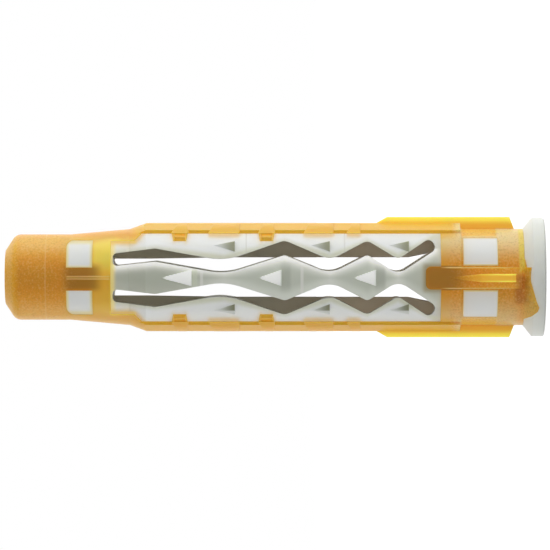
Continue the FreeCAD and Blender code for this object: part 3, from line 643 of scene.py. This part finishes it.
@dataclass(frozen=True)
class GreyPlastic:
    """The hard grey of the core: its colours, and the regions that they are laid on."""

    body: Colour = linear(232, 236, 231)
    collar: Colour = linear(243, 247, 239)
    # Random mottle, also used as painted shade on the lines across the upper shells.
    mottle_and_line_shade: Colour = linear(216, 216, 204)
    leg: Colour = linear(235, 240, 228)
    nose_leg: Colour = linear(204, 208, 192)
    # Painted shade in the legs' middle, and painted highlights on their rims and lines.
    leg_middle_shade: Colour = linear(196, 202, 186)
    leg_highlight: Colour = linear(250, 250, 244)
    shell: Colour = linear(250, 254, 250)
    # Painted shade along the shells' rounded rims.
    shell_rim_shade: Colour = linear(226, 228, 206)
    # Painted highlights on the legs' barbs.
    barb_highlight: Colour = linear(252, 254, 250)
    # Painted shadow below the first barb's base.
    barb_shadow: Colour = linear(226, 232, 212)
    # Painted shade where the leg dips below the other barbs.
    hollow_shade: Colour = linear(184, 189, 176)
    # Painted shade on the shells' barbs, deeper on the lower side.
    shell_barb_shade: Colour = linear(182, 184, 158)
    low_barb_shade: Colour = linear(148, 150, 124)
    # Painted bounce light in the slots' depth.
    nose_slot_bounce: Colour = linear(228, 222, 202)
    collar_slot_bounce: Colour = linear(250, 236, 216)
    # Painted light: the yellow light that comes through the orange jacket.
    jacket_light: Colour = linear(254, 238, 160)
    shade: Colour = linear(176, 164, 122)

    mottle: Noise = Noise(0.25, 2.0)
    collar_end: Region = Region(height=Slope(2.2, 1.4))
    skin: Region = Region(radius=Slope(CORE_RADIUS - 0.12, CORE_RADIUS - 0.02))
    shoulder: Region = Region(radius=Slope(2.95, 3.15), height=Slope(29.3, 29.5))
    proud: Region = Region(radius=Slope(CORE_RADIUS + 0.01, CORE_RADIUS + 0.06),
                           height=SLOT_HEIGHTS)

    leg_area: Region = Region(leg=Slope(-0.25, -0.05), height=SLOT_HEIGHTS)
    leg_shade_area: Region = Region(leg=Slope(0.15, 1.0), share=0.55)
    leg_edge: Region = Region(leg=Slope(0.85, 0.02))
    nose_half: Region = Region(height=Slope(22.0, 27.5))
    lit_side: Region = Region(across=Slope(-0.8, 0.3), share=0.8)
    least_lit: float = 0.2
    rim_falloff: float = 1.4
    rim_glow_falloff: float = 3.0
    rim_glow: float = 0.22

    shell_area: Region = Region(shell=Slope(-0.2, 0.0), side=Slope(1.2, 1.5),
                                height=SLOT_HEIGHTS)
    shell_inside: Region = Region(shell=Slope(0.02, 0.5))
    windows: tuple[Window, ...] = (Window(3.50, 6.07, 0.95, 2.95, 0.10),
                                   Window(33.39, 35.33, 0.70, 2.65, 0.30))

    nose_edge: Region = Region(height=Span(31.95, 32.2, 0.4))
    nose_corner: Region = Region(side=Slope(2.40, 2.62), height=Span(30.4, 32.2, 0.4))
    edge_glow: float = 0.07
    tongue_shade: Region = Region(side=Slope(1.25, 0.80), height=Span(7.0, 8.80, 0.45),
                                  share=0.75)

    slot: Region = Region(depth=Slope(3.0, 0.5), radius=Slope(CORE_RADIUS - 0.1, 3.2),
                          height=Slope(7.0, 8.0))
    slot_to_nose: Region = Region(height=Slope(10.0, 24.0))
    slot_lit: Region = Region(height=Slope(18.0, 10.0))
    slot_glow: float = 0.012

    barb_area: Region = Region(side=Slope(0.85, 0.7))
    barb_lit: Region = Region(across=Slope(-1.0, 0.2))
    barb_glow: float = 0.20
    barb_shadow_rings: Rings = Rings((26.06,), Span(-0.34, -0.10, 0.16))
    barb_shadow_area: Region = Region(side=Slope(0.85, 0.45), share=0.6)
    hollow_shade_rings: Rings = Rings((19.45, 12.50), Span(-0.50, -0.10, 0.35))
    hollow_shade_area: Region = Region(side=Slope(1.3, 0.3), share=0.6)
    leg_lines: Rings = Rings((25.33, 17.94), Span(-0.06, 0.06, 0.10))
    leg_line_share: float = 0.6

    shell_shade_lines: Rings = Rings((22.05, 14.80), Span(-0.03, 0.03, 0.05))
    shell_shade_line_area: Region = Region(across=Slope(0.5, 1.0), share=0.4)
    shell_bases: tuple[float, ...] = (22.89, 15.90, 10.07)
    shell_barb_length: float = 1.55
    shell_barb_foot: Slope = Slope(-0.1, -0.02)
    shell_barb_area: Region = Region(side=Slope(1.7, 1.9))
    lower_facet: Region = Region(across=Slope(-2.36, -2.48), share=0.8)
    upper_side: Region = Region(across=Slope(-0.5, 0.5))

    surface: Surface = Surface(roughness=0.42, shine=0.4, fine=0.6, coarse=0.6, bump=0.25,
                               grain_depth=0.02, edge=0.06, soft=0.35,
                               spread=(1.0, 1.0, 0.85), soft_depth=0.5)

    def build(self, place: bpy.types.ShaderNodeTree, course: bpy.types.ShaderNodeTree,
              grain: bpy.types.ShaderNodeTree) -> bpy.types.Material:
        """Make the material.

        Args:
            place: The group that gives a point's place.
            course: The group that follows the slots.
            grain: The group for the mould's grain.

        Returns:
            The finished material.
        """
        finish = Finish("hard_grey", self.body, place, grain)
        finish.follow_slots(course)
        outside = finish.either(self.skin, self.shoulder)
        finish.paint(self.mottle_and_line_shade, finish.graph.noise(self.mottle))
        finish.paint(self.collar, self.collar_end)
        legs = self.paint_legs(finish, outside)
        shells = self.paint_shells(finish, outside)
        for window in self.windows:
            # Painted jacket light round each window.
            finish.paint(self.jacket_light, window.whole())
            finish.paint(self.shell, window.clear())
        self.paint_jacket_edges(finish, outside)
        self.paint_slots(finish)
        self.paint_leg_barbs(finish, legs)
        self.paint_shell_barbs(finish, shells)
        return finish.complete(self.surface)

    def paint_legs(self, finish: Finish, outside: Socket) -> Value:
        """Paint the diamond legs: painted shade in the middle, darker to the nose, and
        painted highlights with a painted glow on their rims, stronger on the lit upper side.

        Args:
            finish: The material in the making.
            outside: The mask of the core's outer surface.

        Returns:
            The mask of the legs.
        """
        graph = finish.graph
        legs = finish.product(outside, self.leg_area)
        colour = graph.mix(finish.mask(self.nose_half), self.leg, self.nose_leg)
        # Painted shade, deepest in the middle of the legs.
        colour = graph.mix(finish.mask(self.leg_shade_area), colour, self.leg_middle_shade)
        finish.paint(colour, legs)
        lit = graph.math("ADD", self.least_lit, finish.mask(self.lit_side))
        # Painted highlights and a painted glow on the legs' rims, stronger on the upper side.
        rim_highlight = finish.product(legs, self.leg_edge, lit)
        finish.paint(self.leg_highlight, graph.math("POWER", rim_highlight, self.rim_falloff))
        finish.lighten(self.rim_glow, graph.math("POWER", rim_highlight, self.rim_glow_falloff))
        return legs

    def paint_shells(self, finish: Finish, outside: Socket) -> Value:
        """Paint the two shells beside the slots, with painted shade along their rounded rims.

        Args:
            finish: The material in the making.
            outside: The mask of the core's outer surface.

        Returns:
            The mask of the shells.
        """
        shells = finish.product(outside, self.shell_area)
        colour = finish.graph.mix(finish.mask(self.shell_inside), self.shell_rim_shade, self.shell)
        finish.paint(colour, shells)
        return shells

    def paint_jacket_edges(self, finish: Finish, outside: Socket) -> None:
        """Paint the jacket's light on the core next to the nose, with a painted glow, and
        painted shade round the jacket's tongue.

        Args:
            finish: The material in the making.
            outside: The mask of the core's outer surface.
        """
        jacket_lit = finish.product(outside, finish.either(self.nose_edge, self.nose_corner))
        finish.paint(self.jacket_light, jacket_lit)
        finish.lighten(self.edge_glow, jacket_lit)
        finish.paint(self.shade, outside, self.tongue_shade)

    def paint_slots(self, finish: Finish) -> None:
        """Paint the slots' depth with painted brownish bounce light and a faint painted glow.

        Args:
            finish: The material in the making.
        """
        slots = finish.mask(self.slot)
        colour = finish.graph.mix(finish.mask(self.slot_to_nose), self.collar_slot_bounce,
                                  self.nose_slot_bounce)
        finish.paint(colour, slots)
        finish.lighten(self.slot_glow, slots, self.slot_lit)

    def paint_leg_barbs(self, finish: Finish, legs: Value) -> None:
        """Paint painted highlights and a painted glow on the legs' barbs, painted shade on
        the leg below their bases, and pale lines across it.

        Args:
            finish: The material in the making.
            legs: The mask of the legs.
        """
        barbs = finish.product(self.proud, self.barb_area)
        # Painted highlights and a painted glow on the barbs, stronger on the upper side.
        finish.paint(self.barb_highlight, barbs)
        finish.lighten(self.barb_glow, barbs, self.barb_lit)
        # Painted shadow below the barb's base.
        finish.paint(self.barb_shadow, finish.rings(self.barb_shadow_rings), self.barb_shadow_area)
        # Painted shade in the dips below the barbs.
        finish.paint(self.hollow_shade, finish.rings(self.hollow_shade_rings), legs, self.hollow_shade_area)
        # Pale lines across the legs, in the rims' highlight colour.
        finish.paint(self.leg_highlight, finish.rings(self.leg_lines), legs, self.leg_line_share)

    def paint_shell_barbs(self, finish: Finish, shells: Value) -> None:
        """Paint the shells' lines, darker above as painted shade, and painted shade on their
        barbs, deepest at the base and on the lower side.

        Args:
            finish: The material in the making.
            shells: The mask of the shells.
        """
        graph = finish.graph
        # Lines across the shells, painted darker on the upper side as shade.
        finish.paint(self.mottle_and_line_shade, finish.rings(self.shell_shade_lines), shells,
                     self.shell_shade_line_area)
        # Painted shade on the shells' barbs, deepest at their bases.
        barb_shade: Value = 0.0
        for base in self.shell_bases:
            fade = Region(height=Slope(base + self.shell_barb_length, base))
            foot = Region(height=Slope(base + self.shell_barb_foot.start,
                                       base + self.shell_barb_foot.end))
            barb_shade = graph.math("ADD", barb_shade, finish.product(fade, foot))
        facets = graph.math("SUBTRACT", 1.0, finish.mask(self.lower_facet))
        colour = graph.mix(finish.mask(self.upper_side), self.low_barb_shade, self.shell_barb_shade)
        finish.paint(colour, self.proud, barb_shade, self.shell_barb_area, facets)


@dataclass(frozen=True)
class OrangeElastomer:
    """The soft translucent orange of the jacket: its colours, and their regions."""

    thick: Colour = linear(246, 173, 50)
    skin: Colour = linear(248, 190, 62)
    # Painted shade: the lower strip in a deeper orange.
    low_skin_shade: Colour = linear(250, 182, 46)
    # Painted sheen on the body's sides and the neck.
    pale: Colour = linear(250, 202, 98)
    neck_sheen: Colour = linear(255, 228, 170)
    ridge: Colour = linear(255, 218, 140)
    sparkle: Colour = linear(255, 222, 146)
    deep: Colour = linear(240, 160, 42)
    # Painted light through the fins.
    root: Colour = linear(246, 196, 70)
    # Painted light through the window walls.
    wall: Colour = linear(255, 190, 66)
    # Painted light through the fins' thin crests.
    thin: Colour = linear(255, 240, 96)
    # Painted light through the thin jacket.
    haze_light: Colour = linear(255, 222, 92)
    tail: Colour = linear(255, 180, 82)
    tip: Colour = linear(255, 192, 54)
    tongue: Colour = linear(170, 122, 40)
    brown: Colour = linear(190, 118, 42)
    # Painted highlights along the bar's edges.
    bar_rim_highlight: Colour = linear(255, 226, 150)
    line: Colour = linear(255, 214, 140)

    mottle: Noise = Noise(0.3, 2.0)
    upper_half: Region = Region(across=Slope(0.8, 3.0))
    lower_half: Region = Region(across=Slope(-0.8, -3.2), share=0.6)
    upper_strip: Region = Region(across=Slope(2.7, 3.2), height=Slope(6.5, 8.5), share=0.7)
    neck: Region = Region(height=Slope(9.0, 7.0))
    sheen_share: float = 0.85
    strips: Region = Region(side=Slope(2.6, 3.4), height=Span(7.0, 30.0, 0.8))
    upper_side: Region = Region(across=Slope(-1.0, 1.0))
    beside_windows: Region = Region(side=Slope(2.95, 3.15), height=Span(3.7, 6.0, 0.25),
                                    share=0.8)

    haze_area: Region = Region(height=Span(31.9, 33.1, 0.8), depth=Slope(1.6, 2.4))
    upper_haze: Region = Region(across=Slope(-0.2, 1.4), share=0.55)
    least_haze: float = 0.35
    haze_glow: float = 0.10
    window_walls: Region = Region(radius=Slope(BODY_RADIUS - 0.03, BODY_RADIUS - 0.14),
                                  height=Span(9.4, 29.6, 0.2), depth=Slope(1.0, 1.4))
    window_end: Region = Region(side=Span(2.5, 2.72, 0.08), height=Span(30.3, 32.0, 0.2),
                                depth=Slope(1.0, 1.4))
    wall_share: float = 0.8
    wall_glow: float = 0.04
    end_glow: float = 0.05

    nose_middle: Region = Region(side=Slope(1.8, 0.2), height=Slope(33.5, 35.5), share=0.22)
    nose_tip: Region = Region(height=Slope(38.7, 39.3), share=0.7)
    nose_bridge: Region = Region(side=Slope(1.25, 0.6), height=Span(33.4, 34.9, 1.0),
                                 depth=Slope(2.6, 2.9), share=0.8)
    bridge_ridge: Region = Region(side=Span(0.06, 0.12, 0.05), height=Span(32.2, 35.2, 0.2),
                                  share=0.6)

    collar_edge: Region = Region(height=Span(1.65, 1.85, 0.2), across=Slope(-0.2, 0.8),
                                 share=0.8)
    feed_tail: Region = Region(height=Slope(2.4, 1.6), across=Span(-3.2, 0.2, 0.4), share=0.9)
    tail_shade: Region = Region(height=Span(1.5, 2.0, 0.5), across=Span(-1.6, -0.1, 0.6),
                                share=0.7)

    sandy_neck: Region = Region(height=Slope(7.6, 6.6))
    sandy_nose: Region = Region(height=Slope(34.0, 36.5))
    grains: Noise = Noise(7.0, 2.0)
    bright_grains: Slope = Slope(0.52, 0.66)
    bright_share: float = 0.28
    dark_grains: Slope = Slope(0.48, 0.34)
    dark_share: float = 0.22

    tongue_area: Region = Region(depth=Slope(3.6, 3.75), side=Slope(0.95, 0.85),
                                 height=Span(7.3, 9.0, 2.2), share=0.8)
    bar_edges: Region = Region(depth=Slope(3.85, 3.95), side=Span(0.74, 0.80, 0.03),
                               height=Span(3.2, 6.9, 1.0), share=0.8)
    side_fins: Region = Region(depth=Slope(0.36, 0.30), side=Slope(3.5, 3.7),
                               height=Span(2.0, 12.6, 0.2))
    side_crests: Region = Region(radius=Slope(3.8, FIN_RADIUS))
    bar_fins: Region = Region(depth=Slope(4.11, 4.16), height=Slope(6.8, 3.8))
    bar_fin_end: Region = Region(height=Slope(1.9, 2.1))
    bar_crests: Region = Region(side=Slope(0.12, 0.30), height=Slope(6.0, 2.4))
    fin_glow: float = 0.17
    seam: Region = Region(height=Span(PARTING_HEIGHT - 0.03, PARTING_HEIGHT + 0.03, 0.03),
                          share=0.35)

    passed: Colour = linear(255, 240, 206)
    passed_direct: float = 0.9
    passed_bounced: float = 0.85
    surface: Surface = Surface(roughness=0.36, shine=0.25, fine=0.7, coarse=0.5, bump=0.3,
                               grain_depth=0.03, edge=0.08, soft=0.55,
                               spread=(1.0, 0.6, 0.15), soft_depth=0.8)

    def build(self, place: bpy.types.ShaderNodeTree,
              grain: bpy.types.ShaderNodeTree) -> bpy.types.Material:
        """Make the material.

        Args:
            place: The group that gives a point's place.
            grain: The group for the mould's grain.

        Returns:
            The finished material.
        """
        finish = Finish("soft_orange", self.thick, place, grain)
        finish.paint(self.deep, finish.graph.noise(self.mottle))
        self.paint_body(finish)
        self.paint_thin_places(finish)
        self.paint_nose(finish)
        self.paint_collar_end(finish)
        self.paint_grain(finish)
        finish.paint(self.tongue, self.tongue_area)
        # Painted highlights on the bar's edges.
        finish.paint(self.bar_rim_highlight, self.bar_edges)
        self.paint_fins(finish)
        finish.paint(self.line, self.seam)
        finish.pass_light(self.passed, self.passed_direct, self.passed_bounced)
        return finish.complete(self.surface)

    def paint_body(self, finish: Finish) -> None:
        """Paint painted sheen on the body's sides, stronger above, the strips, the lower one
        deeper as painted shade, and the neck beside its windows.

        Args:
            finish: The material in the making.
        """
        graph = finish.graph
        # Painted sheen, full on the upper side and weaker on the lower.
        upper = graph.math("SUBTRACT", finish.mask(self.upper_half),
                           finish.mask(self.upper_strip))
        sides = graph.math("ADD", upper, finish.mask(self.lower_half))
        pale = graph.mix(finish.mask(self.neck), self.pale, self.neck_sheen)
        finish.paint(pale, sides, self.sheen_share)
        # The strips, with painted shade on the lower one.
        skin = graph.mix(finish.mask(self.upper_side), self.low_skin_shade, self.skin)
        finish.paint(skin, self.strips)
        finish.paint(self.tip, self.beside_windows)

    def paint_thin_places(self, finish: Finish) -> None:
        """Paint painted light through the thin jacket before the nose, stronger above, and in
        the large window's walls and end, with a painted glow.

        Args:
            finish: The material in the making.
        """
        upper = finish.graph.math("ADD", self.least_haze, finish.mask(self.upper_haze))
        # Painted light through the thin jacket before the nose, with a painted glow.
        haze_light = finish.product(self.haze_area, upper)
        finish.paint(self.haze_light, haze_light)
        finish.lighten(self.haze_glow, haze_light)
        # Painted light and glow in the window's walls and at its end.
        walls = finish.mask(self.window_walls)
        finish.paint(self.wall, walls, self.wall_share)
        finish.lighten(self.wall_glow, walls)
        end = finish.mask(self.window_end)
        finish.paint(self.haze_light, end, self.wall_share)
        finish.lighten(self.end_glow, end)

    def paint_nose(self, finish: Finish) -> None:
        """Paint the nose, its tip, and the bridge between its windows with its ridge.

        Args:
            finish: The material in the making.
        """
        finish.paint(self.tongue, self.nose_middle)
        finish.paint(self.tip, self.nose_tip)
        finish.paint(self.tongue, self.nose_bridge)
        finish.paint(self.ridge, self.bridge_ridge)

    def paint_collar_end(self, finish: Finish) -> None:
        """Paint painted light through the jacket's edge at the collar, stronger above, and
        painted shade round the feed tail.

        Args:
            finish: The material in the making.
        """
        # Painted light through the edge, and painted shade round the tail.
        finish.paint(self.haze_light, self.collar_edge)
        finish.paint(self.tail, self.feed_tail)
        finish.paint(self.brown, self.tail_shade)

    def paint_grain(self, finish: Finish) -> None:
        """Speckle the neck and the nose, where the mould leaves a sandy grain.

        Args:
            finish: The material in the making.
        """
        graph = finish.graph
        sandy = graph.math("ADD", finish.mask(self.sandy_neck), finish.mask(self.sandy_nose),
                           clamp=True)
        grains = graph.noise(self.grains)
        finish.paint(self.sparkle, self.bright_grains.mask(graph, grains), sandy,
                     self.bright_share)
        finish.paint(self.tongue, self.dark_grains.mask(graph, grains), sandy,
                     self.dark_share)

    def paint_fins(self, finish: Finish) -> None:
        """Paint the light that passes through all four fins and their thin crests, as painted
        colour and a painted glow.

        Args:
            finish: The material in the making.
        """
        graph = finish.graph
        side_fins = finish.mask(self.side_fins)
        bar_fins = finish.product(self.bar_fins, self.bar_fin_end)
        fins = graph.math("ADD", side_fins, bar_fins, clamp=True)
        crests = graph.math("ADD", finish.product(side_fins, self.side_crests),
                            finish.product(bar_fins, self.bar_crests), clamp=True)
        # Painted light through the fins and their crests, with a painted glow.
        finish.paint(self.root, fins)
        finish.paint(self.thin, crests)
        finish.lighten(self.fin_glow, graph.math("ADD", fins, crests))


class Lamp(NamedTuple):
    """A square lamp: its name, the side it stands on and its watts."""

    name: str
    side: Side
    power: float


class WorldLight(NamedTuple):
    """Light that the surroundings send from one side.

    It grows from nothing at right angles to that side, and is full where a direction leans
    to it by the given cosine.
    """

    side: Side
    full: float
    strength: float


@dataclass
class Studio:
    """The pale floor, the white surroundings, the soft lamps and the camera.

    Attributes:
        view_distance: Millimetres from the camera to what it aims at.
        view_rise: Degrees that the camera stands above the plug's front.
        aim_across: Where it aims, across the plug.
        aim_height: Where it aims, along the plug.
        frame_width: Millimetres that the picture spans at the plug.
        sensor: Width of the camera's sensor.
        clip_start: Nearest distance that the camera sees, in metres.
        clip_end: Farthest distance that it sees, in metres.
        floor_size: Edge of the floor.
        floor_grey: How much light the floor gives back to the plug.
        floor_shadow: Share of the floor's shown white that shadows can darken.
        floor_return: How much of that share comes back from an unshaded floor.
        ambient: Light from all round.
        world_lights: Light from some sides on top of it.
        lamps: The lamps.
        lamp_distance: Distance of the lamps from the axis.
        lamp_size: Edge of a lamp.
    """

    view_distance: float = 365.0
    view_rise: float = 1.0
    aim_across: float = 0.15
    aim_height: float = 19.93
    frame_width: float = 40.85
    sensor: float = 36.0
    clip_start: float = 0.01
    clip_end: float = 20.0
    floor_size: float = 4000.0
    floor_grey: float = 0.8
    floor_shadow: float = 0.30
    floor_return: float = 0.25
    ambient: float = 0.27
    world_lights: tuple[WorldLight, ...] = (WorldLight(Side.RAIL_TOP, 0.6, 0.88),
                                            WorldLight(Side.RAIL_BOTTOM, 0.9, 0.42),
                                            WorldLight(Side.BACK, 0.9, 0.9))
    lamps: tuple[Lamp, ...] = (Lamp("lamp_top", Side.RAIL_TOP, 0.14),
                               Lamp("lamp_bottom", Side.RAIL_BOTTOM, 0.08))
    lamp_distance: float = 220.0
    lamp_size: float = 120.0

    def build(self) -> None:
        """Set up everything that isn't the plug."""
        self.add_floor()
        self.light_world()
        for lamp in self.lamps:
            self.add_lamp(lamp)
        self.add_camera()

    def floor_material(self) -> bpy.types.Material:
        """Make a material that lights the plug as grey and shows white with faint shadows.

        Returns:
            The material.
        """
        made = bpy.data.materials.new("floor_white")
        made.use_nodes = True
        made.node_tree.nodes.clear()
        graph = Graph(made.node_tree)
        lit = graph.node("ShaderNodeBsdfDiffuse")
        lit.inputs["Color"].default_value = (self.floor_grey,) * 3 + (1.0,)
        glow = graph.node("ShaderNodeEmission")
        glow.inputs["Strength"].default_value = 1.0 - self.floor_shadow * self.floor_return
        faint = graph.node("ShaderNodeBsdfDiffuse")
        faint.inputs["Color"].default_value = (self.floor_shadow,) * 3 + (1.0,)
        shown = graph.node("ShaderNodeAddShader")
        graph.link(glow.outputs[0], shown.inputs[0])
        graph.link(faint.outputs[0], shown.inputs[1])
        path = graph.node("ShaderNodeLightPath")
        seen = graph.math("MAXIMUM", path.outputs["Is Camera Ray"],
                          graph.math("MAXIMUM", path.outputs["Is Glossy Ray"],
                                     path.outputs["Is Transmission Ray"]))
        graph.blend(seen, lit, shown, graph.node("ShaderNodeOutputMaterial"))
        return made

    def add_floor(self) -> None:
        """Add the floor that the collar stands on."""
        half = self.floor_size / 2 * MM
        mesh = bpy.data.meshes.new("floor")
        mesh.from_pydata([(-half, -half, 0), (half, -half, 0), (half, half, 0),
                          (-half, half, 0)], [], [(0, 1, 2, 3)])
        floor = bpy.data.objects.new("floor", mesh)
        bpy.context.scene.collection.objects.link(floor)
        floor.data.materials.append(self.floor_material())

    def light_world(self) -> None:
        """Light the plug from all sides, and show white to the camera."""
        world = bpy.data.worlds.new("studio")
        bpy.context.scene.world = world
        world.use_nodes = True
        world.node_tree.nodes.clear()
        graph = Graph(world.node_tree)
        shown = graph.node("ShaderNodeBackground")
        shown.inputs["Color"].default_value = (1.0, 1.0, 1.0, 1.0)
        shown.inputs["Strength"].default_value = 1.0
        lit = graph.node("ShaderNodeBackground")
        direction = graph.node("ShaderNodeTexCoord").outputs["Generated"]
        strength: Value = self.ambient
        for light in self.world_lights:
            lean = graph.node("ShaderNodeVectorMath", operation="DOT_PRODUCT")
            graph.link(direction, lean.inputs[0])
            lean.inputs[1].default_value = light.side.value
            share = graph.ramp(lean.outputs["Value"], 0.0, light.full)
            strength = graph.math("ADD", strength,
                                  graph.math("MULTIPLY", share, light.strength))
        graph.link(strength, lit.inputs["Strength"])
        path = graph.node("ShaderNodeLightPath")
        seen = graph.math("MAXIMUM", path.outputs["Is Camera Ray"],
                          path.outputs["Is Transmission Ray"])
        graph.blend(seen, lit, shown, graph.node("ShaderNodeOutputWorld"))

    def add_lamp(self, lamp: Lamp) -> None:
        """Add one square area lamp that faces the plug's middle.

        Args:
            lamp: The lamp.
        """
        data = bpy.data.lights.new(lamp.name, "AREA")
        data.shape = "SQUARE"
        data.size = self.lamp_size * MM
        data.energy = lamp.power
        made = bpy.data.objects.new(lamp.name, data)
        bpy.context.scene.collection.objects.link(made)
        middle = Vector((0, 0, self.aim_height))
        made.location = (middle + lamp.side.value * self.lamp_distance) * MM
        made.rotation_mode = "QUATERNION"
        made.rotation_quaternion = lamp.side.value.to_track_quat("Z", "Y")

    def add_camera(self) -> None:
        """Add the camera with the plug lying across its frame, nose to the left."""
        data = bpy.data.cameras.new("camera")
        data.sensor_width = self.sensor
        data.lens = self.view_distance * self.sensor / self.frame_width
        data.clip_start = self.clip_start
        data.clip_end = self.clip_end
        rise = math.radians(self.view_rise)
        right = Vector((0, 0, -1))
        up = Vector((math.cos(rise), math.sin(rise), 0))
        back = Vector((math.sin(rise), -math.cos(rise), 0))
        aim = Vector((self.aim_across, 0, self.aim_height))
        made = bpy.data.objects.new("camera", data)
        bpy.context.scene.collection.objects.link(made)
        turn = Matrix((right, up, back)).transposed().to_4x4()
        made.matrix_world = Matrix.Translation((aim + back * self.view_distance) * MM) @ turn
        bpy.context.scene.camera = made


@dataclass
class Plug:
    """The plug's two mouldings and their finishes."""

    grey: GreyPlastic = field(default_factory=GreyPlastic)
    orange: OrangeElastomer = field(default_factory=OrangeElastomer)

    def dress(self, nodes: dict[str, bpy.types.Object]) -> None:
        """Give both mouldings their materials.

        Args:
            nodes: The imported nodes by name.
        """
        place = place_group()
        grain = grain_group()
        course = course_group(place)
        materials = {"core": self.grey.build(place, course, grain),
                     "jacket": self.orange.build(place, grain)}
        for name, material in materials.items():
            slots = nodes[name].data.materials
            slots.clear()
            slots.append(material)
            LOG.info("dressed %s", name)


def main() -> None:
    """Load the frame, dress the plug and set up the studio."""
    logging.basicConfig(level=logging.INFO, format="%(message)s")
    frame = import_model()
    bpy.context.scene.view_settings.view_transform = "Standard"
    Studio().build()
    Plug().dress(frame["nodes"])


if __name__ == "__main__":
    main()
